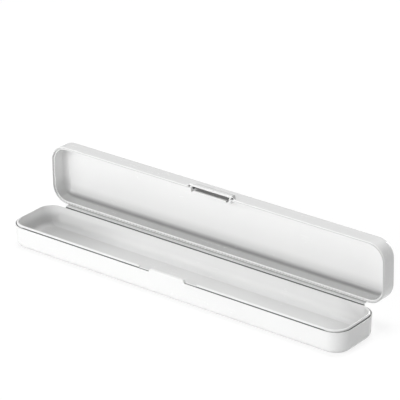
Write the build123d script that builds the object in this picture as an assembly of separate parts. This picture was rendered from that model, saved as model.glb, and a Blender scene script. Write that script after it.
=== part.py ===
"""Hinged travel case for an electric toothbrush, shown with its lid standing open.

Millimetres, +Z up. X runs along the case, the latch is at -Y and the hinge at +Y.
The origin is the middle of the underside. The lid is drawn shut and then turned open.
"""
import os
from math import cos, radians, sin

from build123d import *

os.makedirs("parts", exist_ok=True)

# Outer shape
case_length = 250.0
case_width = 38.0
corner_radius = 11.0
base_height = 14.4
lid_height = 12.2
base_round = 4.0
lid_round = 3.1
base_draft = 3.0
lid_draft = 0.5

# Walls: the base is the heavier half, so that the open case doesn't tip back
base_wall = 2.1
lid_wall = 1.8
floor_thickness = 2.4
top_thickness = 1.4
base_inner_round = 3.0
lid_inner_round = 2.4

# Rim joint: a low outer ledge and a raised inner lip on the base, a skirt on the lid
ledge_width = 1.0
lip_height = 1.1
lip_chamfer = 0.6
groove_width = 0.6
groove_depth = 0.9
skirt_clearance = 0.15
split_gap = 0.1
skirt_chamfer = 0.75

# Hinge
open_angle = 91.0
axis_back = 1.85
axis_drop = 1.4
barrel_radius = 1.2
ear_setback = 1.5
ear_width = 3.6
ear_gap = 0.3
ear_web_front_angle = 215.0
ear_web_back_angle = 300.0
ear_web_drop = 0.5
ear_web_height = 1.6
ear_root = 0.7
trough_depth = 0.6
trough_clearance = 0.75
web_low = 0.75
web_high = 4.0
web_root = 0.3
web_front_angle = 185.0
web_back_angle = 40.0
flap_gap = 0.1
flap_reach = 0.8
flap_tip = 0.15
flap_thickness = 0.45
flap_root_low = 0.4
stop_gap = 0.05
stop_lead = 0.5
stop_trail = 0.7
pin_radius = 0.5
pin_run_clearance = 0.04
pin_in_rail = 8.0
pin_end_gap = 0.3

# Latch
tab_half = 13.4
tab_height = 2.0
tab_thickness = 1.8
tab_slant = 1.1
tab_round = 0.45
lip_gap_half = 21.5
lip_end_slant = 0.5
tab_side_clearance = 0.6
notch_flare = 0.6
notch_height = 1.4
slot_height = 3.9
slot_outer_clearance = 0.15
pad_rise = 1.5
pad_half = 15.4
pad_foot = 3.2
pad_taper = 3.2
pad_top = 8.2
pad_root = 0.4
pocket_offset = 1.2
pocket_width = 1.7
pocket_rise = 0.55
pocket_sink = 0.5
pocket_depth = 2.0
housing_low = 0.4
housing_wall = 1.0
housing_root = 0.5
tongue_thickness = 1.1
tongue_length = 6.0
tongue_gap = 0.35
tongue_side_gap = 1.8
tongue_root_gap = 0.08
tongue_face_gap = 0.06
tongue_tip_round = 0.25
catch_radius = 0.4
catch_rise = 0.13
catch_height = 1.25
catch_bead_height = 0.85
catch_inset = 2.0

# Places worked out from the sizes above
front_face = -case_width / 2
rear_face = case_width / 2
split = base_height
axis_y = rear_face + axis_back
axis_z = split - axis_drop
ear_end = case_length / 2 - corner_radius - ear_setback
ear_start = ear_end - ear_width
rail_half = ear_start - ear_gap
trough_half = ear_end + trough_clearance
trough_floor = axis_z - barrel_radius - trough_clearance
flap_low = axis_z - flap_reach
slot_half = tab_half + tab_side_clearance
tongue_half = slot_half - tongue_side_gap
tongue_low = split + housing_low
tongue_top = tongue_low + tongue_length
tongue_outer = front_face + tab_thickness + tongue_gap
tongue_inner = tongue_outer + tongue_thickness
tongue_radius = tongue_thickness / 2
tongue_axis_y = tongue_outer + tongue_radius
tongue_axis_z = tongue_top - tongue_radius
cut_over = 2.0
level_slack = 0.0001


def plan(inset, height):
    """Rounded outline of the case, moved in by inset, at a height."""
    outline = RectangleRounded(case_length - 2 * inset, case_width - 2 * inset, corner_radius - inset)
    return Plane.XY.offset(height) * outline


def block(x_half, y_low, y_high, z_low, z_high):
    """Box centred on X between the given faces."""
    size = Box(2 * x_half, y_high - y_low, z_high - z_low)
    return Pos(0, (y_low + y_high) / 2, (z_low + z_high) / 2) * size


def slanted_block(half_low, half_high, y_low, y_high, z_low, z_high):
    """Block whose two ends lean, seen from the front."""
    outline = Polyline(
        (-half_low, z_low), (half_low, z_low), (half_high, z_high), (-half_high, z_high), close=True
    )
    face = Plane(origin=(0, y_low, 0), x_dir=(1, 0, 0), z_dir=(0, -1, 0)) * make_face(outline)
    return extrude(face, -(y_high - y_low))


def bar(points, x_half):
    """Prism along X from a section given as (y, z) points."""
    section = Plane.YZ.offset(-x_half) * make_face(Polyline(*points, close=True))
    return extrude(section, 2 * x_half)


def rod(radius, x_low, x_high, y, z):
    """Round bar along X."""
    section = Plane.YZ.offset(x_low) * Pos(y, z) * Circle(radius)
    return extrude(section, x_high - x_low)


def both_ends(piece):
    """The piece and its mirror image at the other end of the case."""
    return piece + mirror(piece, Plane.YZ)


def mirrored(vector):
    """The vector seen in a mirror at the middle of the case."""
    return Vector(-vector.X, vector.Y, vector.Z)


def split_off(piece, plane):
    """The side of the piece that holds its middle, cut at a plane."""
    kept = Keep.TOP
    if plane.to_local_coords(piece.center()).Z < 0:
        kept = Keep.BOTTOM
    return piece.split(plane, keep=kept)


def edges_at(piece, height):
    """Edges that lie wholly at one height."""
    return piece.edges().filter_by_position(Axis.Z, height - level_slack, height + level_slack)


def base_shell():
    """Tray with the ledge, the lip, the latch tab, the hinge trough and two hinge ears."""
    body = extrude(plan(0, split), -split, taper=base_draft)
    body = fillet(edges_at(body, 0), base_round)

    lip_top = split + lip_height
    lip = extrude(plan(ledge_width, split), lip_height)
    lip = chamfer(edges_at(lip, lip_top), lip_chamfer)
    lip_break = slanted_block(
        lip_gap_half, lip_gap_half + lip_end_slant,
        front_face - cut_over, front_face + base_wall + cut_over, split, lip_top + cut_over,
    )
    groove = extrude(plan(ledge_width - groove_width, split - groove_depth), groove_depth)
    groove -= extrude(plan(ledge_width, split - groove_depth), groove_depth)
    groove -= lip_break.moved(Location((0, 0, -groove_depth)))
    body = body + (lip - lip_break) - groove

    cavity = extrude(plan(base_wall, lip_top), -(lip_top - floor_thickness), taper=base_draft)
    cavity = fillet(edges_at(cavity, floor_thickness), base_inner_round)
    body -= cavity

    trough = block(trough_half, rear_face - trough_depth, rear_face + cut_over, trough_floor, split)
    body -= trough
    return body + latch_tab() + hinge_ears()


def latch_tab():
    """Tab that stands on the front wall, with a low catch along its inner face."""
    inner_face = front_face + tab_thickness
    tab = slanted_block(
        tab_half, tab_half - tab_slant, front_face, inner_face, split, split + tab_height
    )
    tab = fillet(edges_at(tab, split + tab_height), tab_round)
    catch_half = tab_half - tab_slant - catch_inset
    catch_y = inner_face - catch_radius + catch_rise
    catch = rod(catch_radius, -catch_half, catch_half, catch_y, split + catch_height)
    return tab + catch


def on_barrel(angle):
    """Point on the hinge barrel, seen from the end."""
    turn = radians(angle)
    return (axis_y + barrel_radius * cos(turn), axis_z + barrel_radius * sin(turn))


def hinge_ears():
    """Two ears on the rear wall, bored for the pins, carried on webs that pass under the flap."""
    web_top = flap_low - ear_web_drop
    root = rear_face - ear_root
    section = [
        (root, web_top), (rear_face + flap_gap, web_top), on_barrel(ear_web_front_angle),
        (axis_y, axis_z), on_barrel(ear_web_back_angle), (root, web_top - ear_web_height),
    ]
    ear = rod(barrel_radius, ear_start, ear_end, axis_y, axis_z)
    ear += Pos((ear_start + ear_end) / 2, 0, 0) * bar(section, ear_width / 2)
    ear -= rod(pin_radius, ear_start, ear_end, axis_y, axis_z)
    return both_ends(ear)


def lid_shell():
    """Lid, drawn shut: skirt, rim step, hinge rail and latch housing."""
    body = extrude(plan(0, split + split_gap), lid_height - split_gap, taper=lid_draft)
    body = fillet(edges_at(body, split + lid_height), lid_round)
    body = chamfer(edges_at(body, split + split_gap), skirt_chamfer)
    body += thumb_pad()

    cavity_top = split + lid_height - top_thickness
    cavity = extrude(plan(lid_wall, split), cavity_top - split, taper=lid_draft)
    cavity = fillet(edges_at(cavity, cavity_top), lid_inner_round)
    step = extrude(plan(ledge_width - skirt_clearance, split), lip_height + skirt_clearance)
    body -= cavity + step
    body += latch_housing()
    body -= latch_slot()
    return body + hinge_rail()


def thumb_pad():
    """Wedge on the front of the lid that a thumb lifts."""
    low = split + notch_height
    high = split + pad_top
    root = front_face + pad_root
    foot_half = pad_half + pad_foot
    pad = bar([(root, low), (front_face - pad_rise, low), (root, high)], foot_half)
    ridge = Vector(pad_half, front_face - pad_rise, low)
    along_foot = Vector(foot_half, front_face, low) - ridge
    up_slope = Vector(pad_half - pad_taper, front_face, high) - ridge
    end_face = Plane(origin=ridge, z_dir=up_slope.cross(along_foot))
    pad = split_off(pad, end_face)
    return split_off(pad, Plane(origin=mirrored(ridge), z_dir=mirrored(end_face.z_dir)))


def latch_housing():
    """Thicker stretch of the lid's front wall that carries the tongue."""
    high = tongue_top + tongue_root_gap + housing_wall
    return block(pad_half, front_face + housing_root, tongue_inner, tongue_low, high)


def latch_slot():
    """Notch and slot that the tab enters, the tongue's window, and a pocket at each side."""
    outside = front_face - pad_rise - cut_over
    below = split - cut_over
    window_face = tongue_outer - tongue_face_gap
    slot_face = front_face - slot_outer_clearance
    notch = slanted_block(
        slot_half + notch_flare, slot_half, outside, window_face, below, split + notch_height
    )
    slot = block(slot_half, slot_face, window_face, split, split + slot_height)
    window = block(slot_half, window_face, tongue_inner + cut_over, below, tongue_top + tongue_root_gap)
    pocket_inner = slot_half + pocket_offset
    pocket = block(
        pocket_width / 2, front_face - pocket_rise, front_face + pocket_sink,
        below, split + notch_height + pocket_depth,
    )
    pocket = pocket.moved(Location((pocket_inner + pocket_width / 2, 0, 0)))
    return notch + slot + window + both_ends(pocket)


def latch_tongue():
    """Springy tongue behind the slot, drawn shut; it bends about its rounded root."""
    blade = block(tongue_half, tongue_outer, tongue_inner, tongue_low, tongue_axis_z)
    blade = fillet(edges_at(blade, tongue_low).filter_by(Axis.X), tongue_tip_round)
    root = rod(tongue_radius, -tongue_half, tongue_half, tongue_axis_y, tongue_axis_z)
    bead_half = tongue_half - catch_inset
    bead_y = tongue_outer + catch_radius - catch_rise
    return blade + root + rod(catch_radius, -bead_half, bead_half, bead_y, split + catch_bead_height)


def hinge_rail():
    """Barrel along the back of the lid, its web and flap, and the foot that stops the open lid."""
    root = rear_face - web_root
    flap_face = rear_face + flap_gap
    flap_root = (flap_face, split + flap_root_low)
    web = bar(
        [(root, split + web_low), flap_root, (flap_face, flap_low + flap_tip),
         (flap_face + flap_tip, flap_low), on_barrel(web_front_angle), (axis_y, axis_z),
         on_barrel(web_back_angle), (root, split + web_high)],
        rail_half,
    )
    flap_back = flap_face + flap_thickness
    flap = bar(
        [(root, split + web_low), flap_root, (flap_face, flap_low + flap_tip),
         (flap_face + flap_tip, flap_low), (flap_back, flap_low + flap_thickness),
         (flap_back, split + web_high / 2), (root, split + web_high)],
        ear_end,
    )
    reach = axis_back + trough_depth - stop_gap
    foot = bar(
        [(-stop_lead, 0), (stop_trail, 0), (stop_trail, -reach), (-stop_lead, -reach)],
        rail_half,
    )
    foot = Pos(0, axis_y, axis_z) * Rot(open_angle - 90, 0, 0) * foot
    rail = rod(barrel_radius, -rail_half, rail_half, axis_y, axis_z) + web + flap + foot
    bore_start = rail_half - pin_in_rail - pin_end_gap
    bore = rod(pin_radius + pin_run_clearance, bore_start, rail_half, axis_y, axis_z)
    return rail - both_ends(bore)


def hinge_pin():
    """Steel pin, pressed into the right ear and running in the rail."""
    return rod(pin_radius, rail_half - pin_in_rail, ear_end, axis_y, axis_z)


def opened(piece):
    """Turn a lid piece from shut to open about the hinge axis."""
    hinge = Axis((0, axis_y, axis_z), (-1, 0, 0))
    return piece.rotate(hinge, open_angle)


pieces = {
    "base_shell": base_shell(),
    "lid_shell": opened(lid_shell()),
    "latch_tongue": opened(latch_tongue()),
    "hinge_pin_right": hinge_pin(),
    "hinge_pin_left": mirror(hinge_pin(), Plane.YZ),
}

for name, piece in pieces.items():
    piece.label = name
    export_step(piece, f"parts/{name}.step")
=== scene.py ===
import math

import bpy
from mathutils import Matrix, Vector

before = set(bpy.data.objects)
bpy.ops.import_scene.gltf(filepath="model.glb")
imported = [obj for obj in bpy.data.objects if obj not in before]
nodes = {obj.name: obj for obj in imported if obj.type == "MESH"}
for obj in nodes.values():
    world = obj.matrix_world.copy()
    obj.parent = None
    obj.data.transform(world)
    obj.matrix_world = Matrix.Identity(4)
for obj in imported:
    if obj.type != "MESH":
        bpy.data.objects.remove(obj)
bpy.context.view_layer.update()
scene = bpy.context.scene
print("frame loaded:", sorted(nodes))

cameraSettings = {
    "azimuth": 39.4578,  # degrees round from the latch side
    "elevation": 24.8727,
    "roll": -1.6975,
    "distance": 1.5160376,  # metres from the middle of the underside
    "slideRight": 0.0074524,
    "slideUp": 0.0517026,
    "lens": 231.6421,  # millimetres
    "sensorWidth": 36,
    "clip": (0.1, 50),  # nearest and farthest metres shown
}


def direction(azimuth, height):
    # unit vector away from the case, both angles in degrees
    azimuth, height = math.radians(azimuth), math.radians(height)
    return Vector((
        math.sin(azimuth) * math.cos(height),
        -math.cos(azimuth) * math.cos(height),
        math.sin(height),
    ))


def makeCamera(settings):
    azimuth, roll = math.radians(settings["azimuth"]), math.radians(settings["roll"])
    back = direction(settings["azimuth"], settings["elevation"])
    level = Vector((math.cos(azimuth), math.sin(azimuth), 0))
    upright = back.cross(level)
    right = level * math.cos(roll) + upright * math.sin(roll)
    up = upright * math.cos(roll) - level * math.sin(roll)
    data = bpy.data.cameras.new("camera")
    data.sensor_width = settings["sensorWidth"]
    data.lens = settings["lens"]
    data.clip_start, data.clip_end = settings["clip"]
    camera = bpy.data.objects.new("camera", data)
    scene.collection.objects.link(camera)
    turn = Matrix((right, up, back)).transposed().to_4x4()
    spot = (
        back * settings["distance"]
        + right * settings["slideRight"]
        + up * settings["slideUp"]
    )
    camera.matrix_world = Matrix.Translation(spot) @ turn
    return camera


scene.camera = makeCamera(cameraSettings)
print("camera placed")

editorGrid = {"across": 240, "down": 260}  # spacing of nodes in the node editor
mixSockets = {"first": 6, "second": 7, "result": 2}  # the colour sockets of a Mix node


def addNode(tree, kind, label, **settings):
    node = tree.nodes.new(kind)
    node.name = node.label = label
    for name, value in settings.items():
        setattr(node, name, value)
    return node


def feed(tree, value, socket):
    # a number or a colour is set on the socket, another node's output is wired to it
    if isinstance(value, (int, float, tuple)):
        socket.default_value = value
    else:
        tree.links.new(value, socket)


def arrange(tree):
    # lays the nodes out in columns, back from the output
    end = tree.nodes["output"]
    columns, waiting = {end.name: 0}, [end]
    while waiting:
        node = waiting.pop(0)
        column = columns[node.name] + 1
        for source in [link.from_node for socket in node.inputs for link in socket.links]:
            if columns.get(source.name, 0) < column:
                columns[source.name] = column
                waiting.append(source)
    filled = {}
    for name, column in columns.items():
        row = filled.get(column, 0)
        filled[column] = row + 1
        tree.nodes[name].location = (-editorGrid["across"] * column, -editorGrid["down"] * row)


def newGroup(name, inputs, outputs):
    # a tuple becomes a vector input, a number a float input, and every output is a float
    tree = bpy.data.node_groups.new(name, "ShaderNodeTree")
    for label, value in inputs.items():
        kind = "NodeSocketVector" if isinstance(value, tuple) else "NodeSocketFloat"
        socket = tree.interface.new_socket(label, in_out="INPUT", socket_type=kind)
        socket.default_value = value
    for label in outputs:
        tree.interface.new_socket(label, in_out="OUTPUT", socket_type="NodeSocketFloat")
    entry = addNode(tree, "NodeGroupInput", "input")
    leave = addNode(tree, "NodeGroupOutput", "output")
    return tree, entry.outputs, leave.inputs


def useGroup(tree, group, label, **values):
    node = addNode(tree, "ShaderNodeGroup", label, node_tree=group)
    for name, value in values.items():
        node.inputs[name].default_value = value
    return node.outputs


def newMaterial(name):
    material = bpy.data.materials.new(name)
    material.use_nodes = True
    tree = material.node_tree
    tree.nodes.clear()
    output = addNode(tree, "ShaderNodeOutputMaterial", "output")
    return material, tree, output.inputs["Surface"]


def casePlace(tree):
    # "Object" is the place in metres of the case at rest, "Normal" the way the skin faces
    return addNode(tree, "ShaderNodeTexCoord", "case place").outputs


def splitAxes(tree, label, vector):
    node = addNode(tree, "ShaderNodeSeparateXYZ", label)
    feed(tree, vector, node.inputs["Vector"])
    return node.outputs


def mathNode(tree, operation, label, *values):
    node = addNode(tree, "ShaderNodeMath", label, operation=operation)
    for value, socket in zip(values, node.inputs):
        feed(tree, value, socket)
    return node.outputs["Value"]


def vectorNode(tree, operation, label, *values):
    node = addNode(tree, "ShaderNodeVectorMath", label, operation=operation)
    for value, socket in zip(values, node.inputs):
        feed(tree, value, socket)
    return node.outputs


def noiseNode(tree, label, coords, scale, detail, roughness, distortion=0.0):
    node = addNode(tree, "ShaderNodeTexNoise", label)
    feed(tree, coords, node.inputs["Vector"])
    feed(tree, scale, node.inputs["Scale"])
    feed(tree, detail, node.inputs["Detail"])
    feed(tree, roughness, node.inputs["Roughness"])
    feed(tree, distortion, node.inputs["Distortion"])
    return node.outputs["Fac"]


def rangeNode(tree, label, value, low, high, toLow=0.0, toHigh=1.0):
    # eases from toLow to toHigh while the value goes from low to high
    node = addNode(tree, "ShaderNodeMapRange", label, interpolation_type="SMOOTHSTEP")
    feed(tree, value, node.inputs["Value"])
    feed(tree, low, node.inputs["From Min"])
    feed(tree, high, node.inputs["From Max"])
    feed(tree, toLow, node.inputs["To Min"])
    feed(tree, toHigh, node.inputs["To Max"])
    return node.outputs["Result"]


def blendColour(tree, label, factor, first, second):
    node = addNode(tree, "ShaderNodeMix", label, data_type="RGBA", blend_type="MIX")
    feed(tree, factor, node.inputs["Factor"])
    feed(tree, first, node.inputs[mixSockets["first"]])
    feed(tree, second, node.inputs[mixSockets["second"]])
    return node.outputs[mixSockets["result"]]


def bumpNode(tree, label, height, settings):
    node = addNode(tree, "ShaderNodeBump", label)
    feed(tree, settings["bump"], node.inputs["Strength"])
    feed(tree, settings["bumpDepth"], node.inputs["Distance"])
    feed(tree, height, node.inputs["Height"])
    return node.outputs["Normal"]


skinSettings = {  # scales in ripples a metre
    "Wave Scale": 120.0,
    "Grain Scale": 2600.0,
    "Grain Share": 0.3,  # of the waves' height
    "Cloud Scale": 28.0,
    "Spot Scale": 420.0,
}


def makeMouldedSkin(settings):
    # slow waves, a fine spark-erosion grain, a cloudy tone and spots of duller gloss
    tree, entry, leave = newGroup("mouldedSkin", settings, ["Cloud", "Height", "Gloss Spots"])
    coords = casePlace(tree)["Object"]
    wave = noiseNode(tree, "wave", coords, entry["Wave Scale"], detail=1.0, roughness=0.4)
    grain = noiseNode(tree, "grain", coords, entry["Grain Scale"], detail=2.0, roughness=0.6)
    cloud = noiseNode(tree, "cloud", coords, entry["Cloud Scale"],
                      detail=4.0, roughness=0.55, distortion=0.4)
    spots = noiseNode(tree, "spots", coords, entry["Spot Scale"], detail=3.0, roughness=0.65)
    fine = mathNode(tree, "MULTIPLY", "grain height", grain, entry["Grain Share"])
    feed(tree, mathNode(tree, "ADD", "height", wave, fine), leave["Height"])
    feed(tree, rangeNode(tree, "cloud range", cloud, low=0.3, high=0.7), leave["Cloud"])
    feed(tree, rangeNode(tree, "spot range", spots, low=0.35, high=0.7), leave["Gloss Spots"])
    arrange(tree)
    return tree


hairlineSettings = {
    "inputs": {"Scale": 90.0, "Density": 0.35},
    "lays": [  # degrees of turn, and how each lay is drawn out along the case
        (8, (0.12, 6, 6)),
        (-14, (0.16, 5, 5)),
        (37, (0.3, 4, 4)),
    ],
    "noiseMiddle": 0.5,  # a line runs wherever the noise crosses this
    "lineWidth": 0.012,
    "patchScale": 55.0,
}


def makeHairlines(settings):
    # short rubbed scratches from sliding in and out of a bag, mostly along the case
    tree, entry, leave = newGroup("hairlines", settings["inputs"], ["Mask"])
    coords = casePlace(tree)["Object"]
    layers = []
    for index, (turn, stretch) in enumerate(settings["lays"]):
        mapping = addNode(tree, "ShaderNodeMapping", "lay %d" % index)
        mapping.inputs["Rotation"].default_value = [math.radians(turn)] * 3
        mapping.inputs["Scale"].default_value = stretch
        feed(tree, coords, mapping.inputs["Vector"])
        lines = noiseNode(tree, "lines %d" % index, mapping.outputs["Vector"],
                          entry["Scale"], detail=1.0, roughness=0.3)
        centred = mathNode(tree, "SUBTRACT", "centre %d" % index, lines,
                           settings["noiseMiddle"])
        ridge = mathNode(tree, "ABSOLUTE", "ridge %d" % index, centred)
        layers.append(rangeNode(tree, "line %d" % index, ridge, low=0.0,
                                high=settings["lineWidth"], toLow=1.0, toHigh=0.0))
    joined = layers[0]
    for index, layer in enumerate(layers[1:]):
        joined = mathNode(tree, "MAXIMUM", "joined %d" % index, joined, layer)
    patches = noiseNode(tree, "patches", coords, settings["patchScale"],
                        detail=2.0, roughness=0.5)
    worn = rangeNode(tree, "worn patches", patches, low=0.45, high=0.75)
    shown = mathNode(tree, "MULTIPLY", "in patches", joined, worn)
    feed(tree, mathNode(tree, "MULTIPLY", "density", shown, entry["Density"]), leave["Mask"])
    arrange(tree)
    return tree


edgeSettings = {
    "inputs": {"Radius": 0.0006, "Breakup Scale": 260.0},
    "bevelSamples": 4,
    "sharp": 0.75,  # how far the rounded and true normals agree on a full edge
    "flat": 0.995,  # and where the edge ends
}


def makeEdgeRub(settings):
    # where a rounded-over normal leaves the true one, the edge has been handled and polished
    tree, entry, leave = newGroup("edgeRub", settings["inputs"], ["Mask"])
    bevel = addNode(tree, "ShaderNodeBevel", "rounded normal", samples=settings["bevelSamples"])
    feed(tree, entry["Radius"], bevel.inputs["Radius"])
    geometry = addNode(tree, "ShaderNodeNewGeometry", "true normal")
    agreement = vectorNode(tree, "DOT_PRODUCT", "agreement", bevel.outputs["Normal"],
                           geometry.outputs["Normal"])["Value"]
    edge = rangeNode(tree, "edge", agreement, low=settings["sharp"], high=settings["flat"],
                     toLow=1.0, toHigh=0.0)
    breakup = noiseNode(tree, "breakup", casePlace(tree)["Object"], entry["Breakup Scale"],
                        detail=3.0, roughness=0.6)
    patchy = rangeNode(tree, "patchy", breakup, low=0.3, high=0.65)
    feed(tree, mathNode(tree, "MULTIPLY", "mask", edge, patchy), leave["Mask"])
    arrange(tree)
    return tree


paintedSeamShadeSettings = {
    "inputs": {
        "Reach": 0.0016,  # metres to the surface across the seam
        "Open": 0.7,  # closeness where the painted shade starts
        "Shut": 0.3,  # and where it is darkest
        "Breakup Scale": 700.0,
    },
    "samples": 16,
    "thinnest": 0.7,  # share left in the gaps between patches
}


def makePaintedSeamShade(settings):
    # painted shade: the colour darkens where two surfaces close in on each other, in place of
    # the shade that falls in seams
    tree, entry, leave = newGroup("paintedSeamShade", settings["inputs"], ["Mask"])
    shade = addNode(tree, "ShaderNodeAmbientOcclusion", "closeness", samples=settings["samples"])
    feed(tree, entry["Reach"], shade.inputs["Distance"])
    seam = rangeNode(tree, "only in seams", shade.outputs["AO"],
                     low=entry["Open"], high=entry["Shut"])
    breakup = noiseNode(tree, "breakup", casePlace(tree)["Object"], entry["Breakup Scale"],
                        detail=3.0, roughness=0.6)
    patchy = rangeNode(tree, "patchy", breakup, low=0.25, high=0.6,
                       toLow=settings["thinnest"], toHigh=1.0)
    feed(tree, mathNode(tree, "MULTIPLY", "mask", seam, patchy), leave["Mask"])
    arrange(tree)
    return tree


paintedBoxShadeSettings = {
    "inputs": {
        "Centre": (0.0, 0.0, 0.0),
        "Half Size": (0.0, 0.0, 0.0),
        "Fade": (0.001, 0.001, 0.001),  # depth of the soft edge, in from each face of the box
        "Facing": (0.0, 0.0, 0.0),  # the way the shaded skin looks, or nothing for all ways
    },
    "bareFrom": -0.5,  # turned away this far, the skin stays bare
    "fullFrom": -0.05,
}


def makePaintedBoxShade(settings):
    # painted shade: a box inside a hollow where the colour is darkened in place of the shade
    # that falls there, kept off the surfaces that face away from it
    tree, entry, leave = newGroup("paintedBoxShade", settings["inputs"], ["Mask"])
    place = casePlace(tree)
    offset = vectorNode(tree, "SUBTRACT", "from the centre", place["Object"], entry["Centre"])
    away = vectorNode(tree, "ABSOLUTE", "either side", offset["Vector"])
    past = vectorNode(tree, "SUBTRACT", "within", entry["Half Size"], away["Vector"])
    faded = vectorNode(tree, "DIVIDE", "faded", past["Vector"], entry["Fade"])
    axes = splitAxes(tree, "axes", faded["Vector"])
    near = mathNode(tree, "MINIMUM", "nearer of two", axes["X"], axes["Y"])
    near = mathNode(tree, "MINIMUM", "nearest", near, axes["Z"])
    boxShade = rangeNode(tree, "fade in", near, low=0.0, high=1.0)
    towards = vectorNode(tree, "DOT_PRODUCT", "towards", place["Normal"], entry["Facing"])
    inner = rangeNode(tree, "inner side", towards["Value"],
                      low=settings["bareFrom"], high=settings["fullFrom"])
    feed(tree, mathNode(tree, "MULTIPLY", "mask", boxShade, inner), leave["Mask"])
    arrange(tree)
    return tree


slantSettings = {
    "inputs": {"Low": 0.0, "High": 0.001},  # metres along the case's depth
    "slope": -0.707,  # depth part of the normal on an edge cut at 45 degrees
    "spread": 0.15,
}


def makePaintedEdgeShade(settings):
    # painted shade on the slanted edge of the lid's rim, picked out by its slope and its place
    tree, entry, leave = newGroup("paintedEdgeShade", settings["inputs"], ["Mask"])
    place = casePlace(tree)
    depth = splitAxes(tree, "place", place["Object"])["Y"]
    slope = splitAxes(tree, "slope", place["Normal"])["Y"]
    above = mathNode(tree, "GREATER_THAN", "above", depth, entry["Low"])
    below = mathNode(tree, "LESS_THAN", "below", depth, entry["High"])
    slanted = mathNode(tree, "COMPARE", "slanted", slope, settings["slope"], settings["spread"])
    between = mathNode(tree, "MULTIPLY", "between", above, below)
    feed(tree, mathNode(tree, "MULTIPLY", "mask", between, slanted), leave["Mask"])
    arrange(tree)
    return tree


mouldedSkin = makeMouldedSkin(skinSettings)
hairlines = makeHairlines(hairlineSettings)
edgeRub = makeEdgeRub(edgeSettings)
paintedSeamShade = makePaintedSeamShade(paintedSeamShadeSettings)
paintedBoxShade = makePaintedBoxShade(paintedBoxShadeSettings)
paintedEdgeShade = makePaintedEdgeShade(slantSettings)
print("surface effects built")

whitePlastic = {
    "colour": (0.86, 0.862, 0.858, 1),
    "cloudColour": (0.852, 0.854, 0.852, 1),
    "rubbedColour": (0.875, 0.875, 0.87, 1),
    # painted shade: the colour laid in seams where two surfaces close in
    "seamShadeColour": (0.1, 0.1, 0.1, 1),
    # painted shade: the colour laid in the boxes and on the rim's slanted edge
    "paintedShadeColour": (0.12, 0.12, 0.12, 1),
    "ior": 1.49,
    "gloss": 0.24,  # roughness where the skin is untouched
    "glossSpread": 0.03,
    "scratchGloss": 0.1,
    "seamGloss": 0.4,
    "scratches": 0.35,
    "scratchDepth": -0.25,  # against the height of the skin's waves
    "bump": 0.04,
    "bumpDepth": 0.00003,
}


def makeWhitePlastic(name, settings, look):
    material, tree, surface = newMaterial(name)
    shader = addNode(tree, "ShaderNodeBsdfPrincipled", "plastic")
    feed(tree, shader.outputs["BSDF"], surface)
    feed(tree, settings["ior"], shader.inputs["IOR"])
    skin = useGroup(tree, mouldedSkin, "moulded skin")
    lines = useGroup(tree, hairlines, "hairlines", Density=settings["scratches"])
    rub = useGroup(tree, edgeRub, "handled edges")
    seams = useGroup(tree, paintedSeamShade, "painted shade in seams")
    colour = blendColour(tree, "cloudy", skin["Cloud"],
                         settings["colour"], settings["cloudColour"])
    colour = blendColour(tree, "rubbed", rub["Mask"], colour, settings["rubbedColour"])
    # painted shade: each box and slanted edge below darkens the colour where shade falls
    tones = [(label, paintedBoxShade, boxShade) for label, boxShade in look["shadeBoxes"].items()]
    tones += [(label, paintedEdgeShade, edge) for label, edge in look["edges"].items()]
    for label, group, values in tones:
        place = {key: value for key, value in values.items() if key != "amount"}
        mask = useGroup(tree, group, label, **place)["Mask"]
        share = mathNode(tree, "MULTIPLY", label + " amount", mask, values["amount"])
        colour = blendColour(tree, label + " film", share, colour, settings["paintedShadeColour"])
    # painted shade in the seams, which also dulls the gloss there
    seamShaded = mathNode(tree, "MULTIPLY", "seam shade amount", seams["Mask"], look["seamShade"])
    colour = blendColour(tree, "seamShaded", seamShaded, colour, settings["seamShadeColour"])
    feed(tree, colour, shader.inputs["Base Color"])
    gloss = mathNode(tree, "MULTIPLY_ADD", "gloss spots", skin["Gloss Spots"],
                     settings["glossSpread"], settings["gloss"])
    gloss = mathNode(tree, "MULTIPLY_ADD", "scratch gloss", lines["Mask"],
                     settings["scratchGloss"], gloss)
    gloss = mathNode(tree, "MULTIPLY_ADD", "seam gloss", seamShaded, settings["seamGloss"], gloss)
    feed(tree, gloss, shader.inputs["Roughness"])
    height = mathNode(tree, "MULTIPLY_ADD", "scratch depth", lines["Mask"],
                      settings["scratchDepth"], skin["Height"])
    feed(tree, bumpNode(tree, "skin bump", height, settings), shader.inputs["Normal"])
    arrange(tree)
    return material


# each box is painted shade, in metres of the case at rest: the colour there is darkened by its
# amount where shade falls
baseShell = {
    "slot": "white_plastic",
    # share of painted shade in the seams
    "seamShade": 0.9,
    "edges": {},
    "shadeBoxes": {
        "lip groove": {"Centre": (0, -0.0183, 0.0140), "Half Size": (0.1145, 0.0005, 0.0007),
                       "Fade": (0.002, 0.0001, 0.0001), "amount": 0.95},
        "rear wall": {"Centre": (0, 0.0180, 0.0125), "Half Size": (0.123, 0.0035, 0.0065),
                      "Fade": (0.01, 0.0003, 0.004), "Facing": (0, -1, 1), "amount": 0.1},
        "tray": {"Centre": (0, 0, 0.0024), "Half Size": (0.123, 0.0147, 0.012),
                 "Fade": (0.01, 0.001, 0.006), "amount": 0.165},
        "tray left end": {"Centre": (-0.125, 0, 0.003), "Half Size": (0.075, 0.0171, 0.0105),
                          "Fade": (0.07, 0.001, 0.006), "Facing": (1, 0, 1), "amount": 0.31},
        "tray right end": {"Centre": (0.125, 0, 0.006), "Half Size": (0.03, 0.0171, 0.0096),
                           "Fade": (0.03, 0.001, 0.002), "Facing": (-1, 0, 1), "amount": 0.36},
        "hinge gap": {"Centre": (0, 0.0196, 0.0129), "Half Size": (0.1135, 0.0014, 0.0022),
                      "Fade": (0.002, 0.0003, 0.0003), "amount": 0.9},
    },
}
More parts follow.
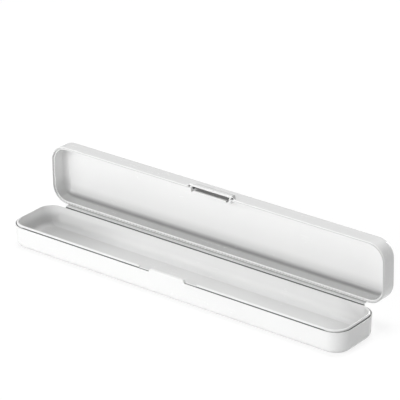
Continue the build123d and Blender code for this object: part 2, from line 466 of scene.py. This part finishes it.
lidShell = {
    "slot": "white_plastic",
    # share of painted shade in the seams
    "seamShade": 0.6,
    # painted shade on the rim's slanted edge
    "edges": {
        "rim edge": {"Low": 0.0222, "High": 0.0234, "amount": 0.3},
    },
    # painted shade boxes: the latch slot, pad ends, tongue end, low wall, low corners and hinge
    # gap
    "shadeBoxes": {
        "latch slot": {"Centre": (0, 0.0266, 0.0519), "Half Size": (0.0147, 0.0018, 0.0014),
                       "Fade": (0.0004, 0.0003, 0.0002), "amount": 0.9},
        "pad right end": {"Centre": (0.0155, 0.0270, 0.0536),
                          "Half Size": (0.0036, 0.0042, 0.0014),
                          "Fade": (0.0003, 0.0003, 0.0003),
                          "Facing": (1, 0.9, -0.9), "amount": 0.5},
        "pad left end": {"Centre": (-0.0155, 0.0270, 0.0536),
                         "Half Size": (0.0036, 0.0042, 0.0014),
                         "Fade": (0.0003, 0.0003, 0.0003),
                         "Facing": (-1, 0.9, -0.9), "amount": 0.5},
        "tongue end": {"Centre": (0.0131, 0.0250, 0.0503),
                       "Half Size": (0.0010, 0.0030, 0.0018),
                       "Fade": (0.0002, 0.0003, 0.0003), "amount": 0.9},
        "low wall": {"Centre": (0, 0.0343, 0.0127), "Half Size": (0.1234, 0.0107, 0.0128),
                     "Fade": (0.002, 0.0003, 0.010), "Facing": (0, -1, 1), "amount": 0.33},
        "low left end": {"Centre": (-0.1216, 0.0290, 0.0127),
                         "Half Size": (0.0030, 0.0060, 0.0180),
                         "Fade": (0.0012, 0.001, 0.008), "Facing": (1, 0, 1), "amount": 0.16},
        "low crease": {"Centre": (0, 0.0326, 0.0164), "Half Size": (0.1230, 0.0034, 0.0031),
                       "Fade": (0.004, 0.003, 0.003), "Facing": (0, -1, 1), "amount": 0.62},
        "hinge gap": {"Centre": (0, 0.0196, 0.0126), "Half Size": (0.1135, 0.0014, 0.0019),
                      "Fade": (0.002, 0.0003, 0.0003), "amount": 0.9},
    },
}
basePlastic = makeWhitePlastic("basePlastic", whitePlastic, baseShell)
lidPlastic = makeWhitePlastic("lidPlastic", whitePlastic, lidShell)

hingePins = {
    "slot": "steel",
    "colour": (0.62, 0.62, 0.61, 1),
    "dullColour": (0.5, 0.5, 0.49, 1),
    "rubbedColour": (0.7, 0.7, 0.69, 1),
    "metallic": 1.0,
    "gloss": 0.28,
    "glossSpread": 0.16,
    "edgeRadius": 0.0002,
    "drawnOut": (0.05, 1, 1),  # the drawing lines are stretched along the pin
    "lineScale": 9000.0,
    "bump": 0.15,
    "bumpDepth": 0.00005,
}


def makeSteel(name, settings):
    material, tree, surface = newMaterial(name)
    shader = addNode(tree, "ShaderNodeBsdfPrincipled", "steel")
    feed(tree, shader.outputs["BSDF"], surface)
    feed(tree, settings["metallic"], shader.inputs["Metallic"])
    mapping = addNode(tree, "ShaderNodeMapping", "drawn along")
    feed(tree, settings["drawnOut"], mapping.inputs["Scale"])
    feed(tree, casePlace(tree)["Object"], mapping.inputs["Vector"])
    drawn = noiseNode(tree, "draw lines", mapping.outputs["Vector"], settings["lineScale"],
                      detail=2.0, roughness=0.6)
    skin = useGroup(tree, mouldedSkin, "cloudy skin")
    rub = useGroup(tree, edgeRub, "handled edges", Radius=settings["edgeRadius"])
    colour = blendColour(tree, "cloudy", skin["Cloud"],
                         settings["colour"], settings["dullColour"])
    colour = blendColour(tree, "rubbed", rub["Mask"], colour, settings["rubbedColour"])
    feed(tree, colour, shader.inputs["Base Color"])
    gloss = mathNode(tree, "MULTIPLY_ADD", "gloss", drawn, settings["glossSpread"],
                     settings["gloss"])
    feed(tree, gloss, shader.inputs["Roughness"])
    feed(tree, bumpNode(tree, "draw bump", drawn, settings), shader.inputs["Normal"])
    arrange(tree)
    return material


pinSteel = makeSteel("pinSteel", hingePins)
finishes = {
    "base_shell": (basePlastic, baseShell["slot"]),
    "lid_shell": (lidPlastic, lidShell["slot"]),
    "latch_tongue": (lidPlastic, lidShell["slot"]),  # moulded in one with the lid
    "hinge_pin_left": (pinSteel, hingePins["slot"]),
    "hinge_pin_right": (pinSteel, hingePins["slot"]),
}
for name, (material, slotName) in finishes.items():
    for materialSlot in nodes[name].material_slots:
        materialSlot.material = material
print("materials assigned")

floorSettings = {
    "size": 12.0,
    "drop": 0.0001,  # metres below the case's underside
    "colour": (0.86, 0.86, 0.86, 1),
    "mottleColour": (0.85, 0.85, 0.85, 1),
    "mottleScale": 9.0,
    "glow": 0.8,  # share of even white that the camera sees in the floor round the case
    "plainFrom": 0.6,  # metres from the case where the floor starts to turn all white
    "plainBy": 1.5,
    "glowColour": (1, 1, 1, 1),
    "glowLevel": 1.07,
}


def makePaper(settings):
    # diffuse paper that takes the shadow, mixed with even white where it is seen
    material, tree, surface = newMaterial("paleFloor")
    path = addNode(tree, "ShaderNodeLightPath", "ray kind")
    diffuse = addNode(tree, "ShaderNodeBsdfDiffuse", "paper")
    coords = casePlace(tree)["Object"]
    mottle = noiseNode(tree, "mottle", coords, settings["mottleScale"],
                       detail=5.0, roughness=0.6)
    tone = blendColour(tree, "paper tone", mottle, settings["colour"], settings["mottleColour"])
    feed(tree, tone, diffuse.inputs["Color"])
    glow = addNode(tree, "ShaderNodeEmission", "white glow")
    feed(tree, settings["glowColour"], glow.inputs["Color"])
    feed(tree, settings["glowLevel"], glow.inputs["Strength"])
    seen = mathNode(tree, "MAXIMUM", "seen", path.outputs["Is Camera Ray"],
                    path.outputs["Is Glossy Ray"])
    away = vectorNode(tree, "LENGTH", "away from the case", coords)["Value"]
    even = rangeNode(tree, "even white", away, low=settings["plainFrom"],
                     high=settings["plainBy"], toLow=settings["glow"], toHigh=1.0)
    mix = addNode(tree, "ShaderNodeMixShader", "floor look")
    inputs = (mathNode(tree, "MULTIPLY", "glow share", seen, even),
              diffuse.outputs["BSDF"], glow.outputs["Emission"])
    for value, socket in zip(inputs, mix.inputs):
        feed(tree, value, socket)
    feed(tree, mix.outputs["Shader"], surface)
    arrange(tree)
    return material


def makeFloor(settings):
    half = settings["size"] / 2
    corners = [(-half, -half, 0), (half, -half, 0), (half, half, 0), (-half, half, 0)]
    mesh = bpy.data.meshes.new("floor")
    mesh.from_pydata(corners, [], [(0, 1, 2, 3)])
    mesh.materials.append(makePaper(settings))
    floor = bpy.data.objects.new("floor", mesh)
    floor.location.z = -settings["drop"]
    scene.collection.objects.link(floor)


lightSettings = {
    "ambient": 0.12,
    "white": (1, 1, 1, 1),
    "paperLevel": 1.0,  # what the camera sees past the floor's end
    "distance": 1.6,  # metres from the target to each softbox
    "target": (0, 0, 0.02),
    "softboxes": {  # degrees round from the latch side and up, metres, share of plain white
        "frontSoftbox": {"azimuth": -12, "height": 24, "size": (1.1, 0.8), "level": 0.69},
        "sideSoftbox": {"azimuth": -55, "height": 12, "size": (0.9, 0.4), "level": 0.11},
        "topSoftbox": {"azimuth": 180, "height": 81, "size": (0.6, 0.6), "level": 0.53},
        "rightFill": {"azimuth": 75, "height": 12, "size": (0.8, 0.6), "level": 0.065},
        "backFill": {"azimuth": 180, "height": 35, "size": (0.9, 0.9), "level": 0.10},
        "lowBackFill": {"azimuth": 178, "height": 6, "size": (0.4, 0.25), "level": 0.28},
    },
}


def makeLamp(name, settings, distance, target):
    data = bpy.data.lights.new(name, "AREA")
    data.shape = "RECTANGLE"
    data.size, data.size_y = settings["size"]
    data.energy = settings["level"] * (math.pi * distance) ** 2  # level 1 shows white as white
    lamp = bpy.data.objects.new(name, data)
    spot = direction(settings["azimuth"], settings["height"]) * distance + target
    lamp.location = spot
    lamp.rotation_mode = "QUATERNION"
    lamp.rotation_quaternion = (target - spot).to_track_quat("-Z", "Y")
    scene.collection.objects.link(lamp)


def makeRoom(settings):
    world = bpy.data.worlds.new("softRoom")
    scene.world = world
    world.use_nodes = True
    tree = world.node_tree
    tree.nodes.clear()
    output = addNode(tree, "ShaderNodeOutputWorld", "output")
    path = addNode(tree, "ShaderNodeLightPath", "ray kind")
    mix = addNode(tree, "ShaderNodeMixShader", "by ray")
    inputs = [path.outputs["Is Camera Ray"]]
    for label, level in (("room", settings["ambient"]), ("white paper", settings["paperLevel"])):
        background = addNode(tree, "ShaderNodeBackground", label)
        feed(tree, settings["white"], background.inputs["Color"])
        feed(tree, level, background.inputs["Strength"])
        inputs.append(background.outputs["Background"])
    for value, socket in zip(inputs, mix.inputs):
        feed(tree, value, socket)
    feed(tree, mix.outputs["Shader"], output.inputs["Surface"])
    arrange(tree)


makeFloor(floorSettings)
makeRoom(lightSettings)
for lampName, lampSettings in lightSettings["softboxes"].items():
    makeLamp(lampName, lampSettings, lightSettings["distance"], Vector(lightSettings["target"]))
scene.view_settings.view_transform = "Standard"
print("floor, room and lamps ready")
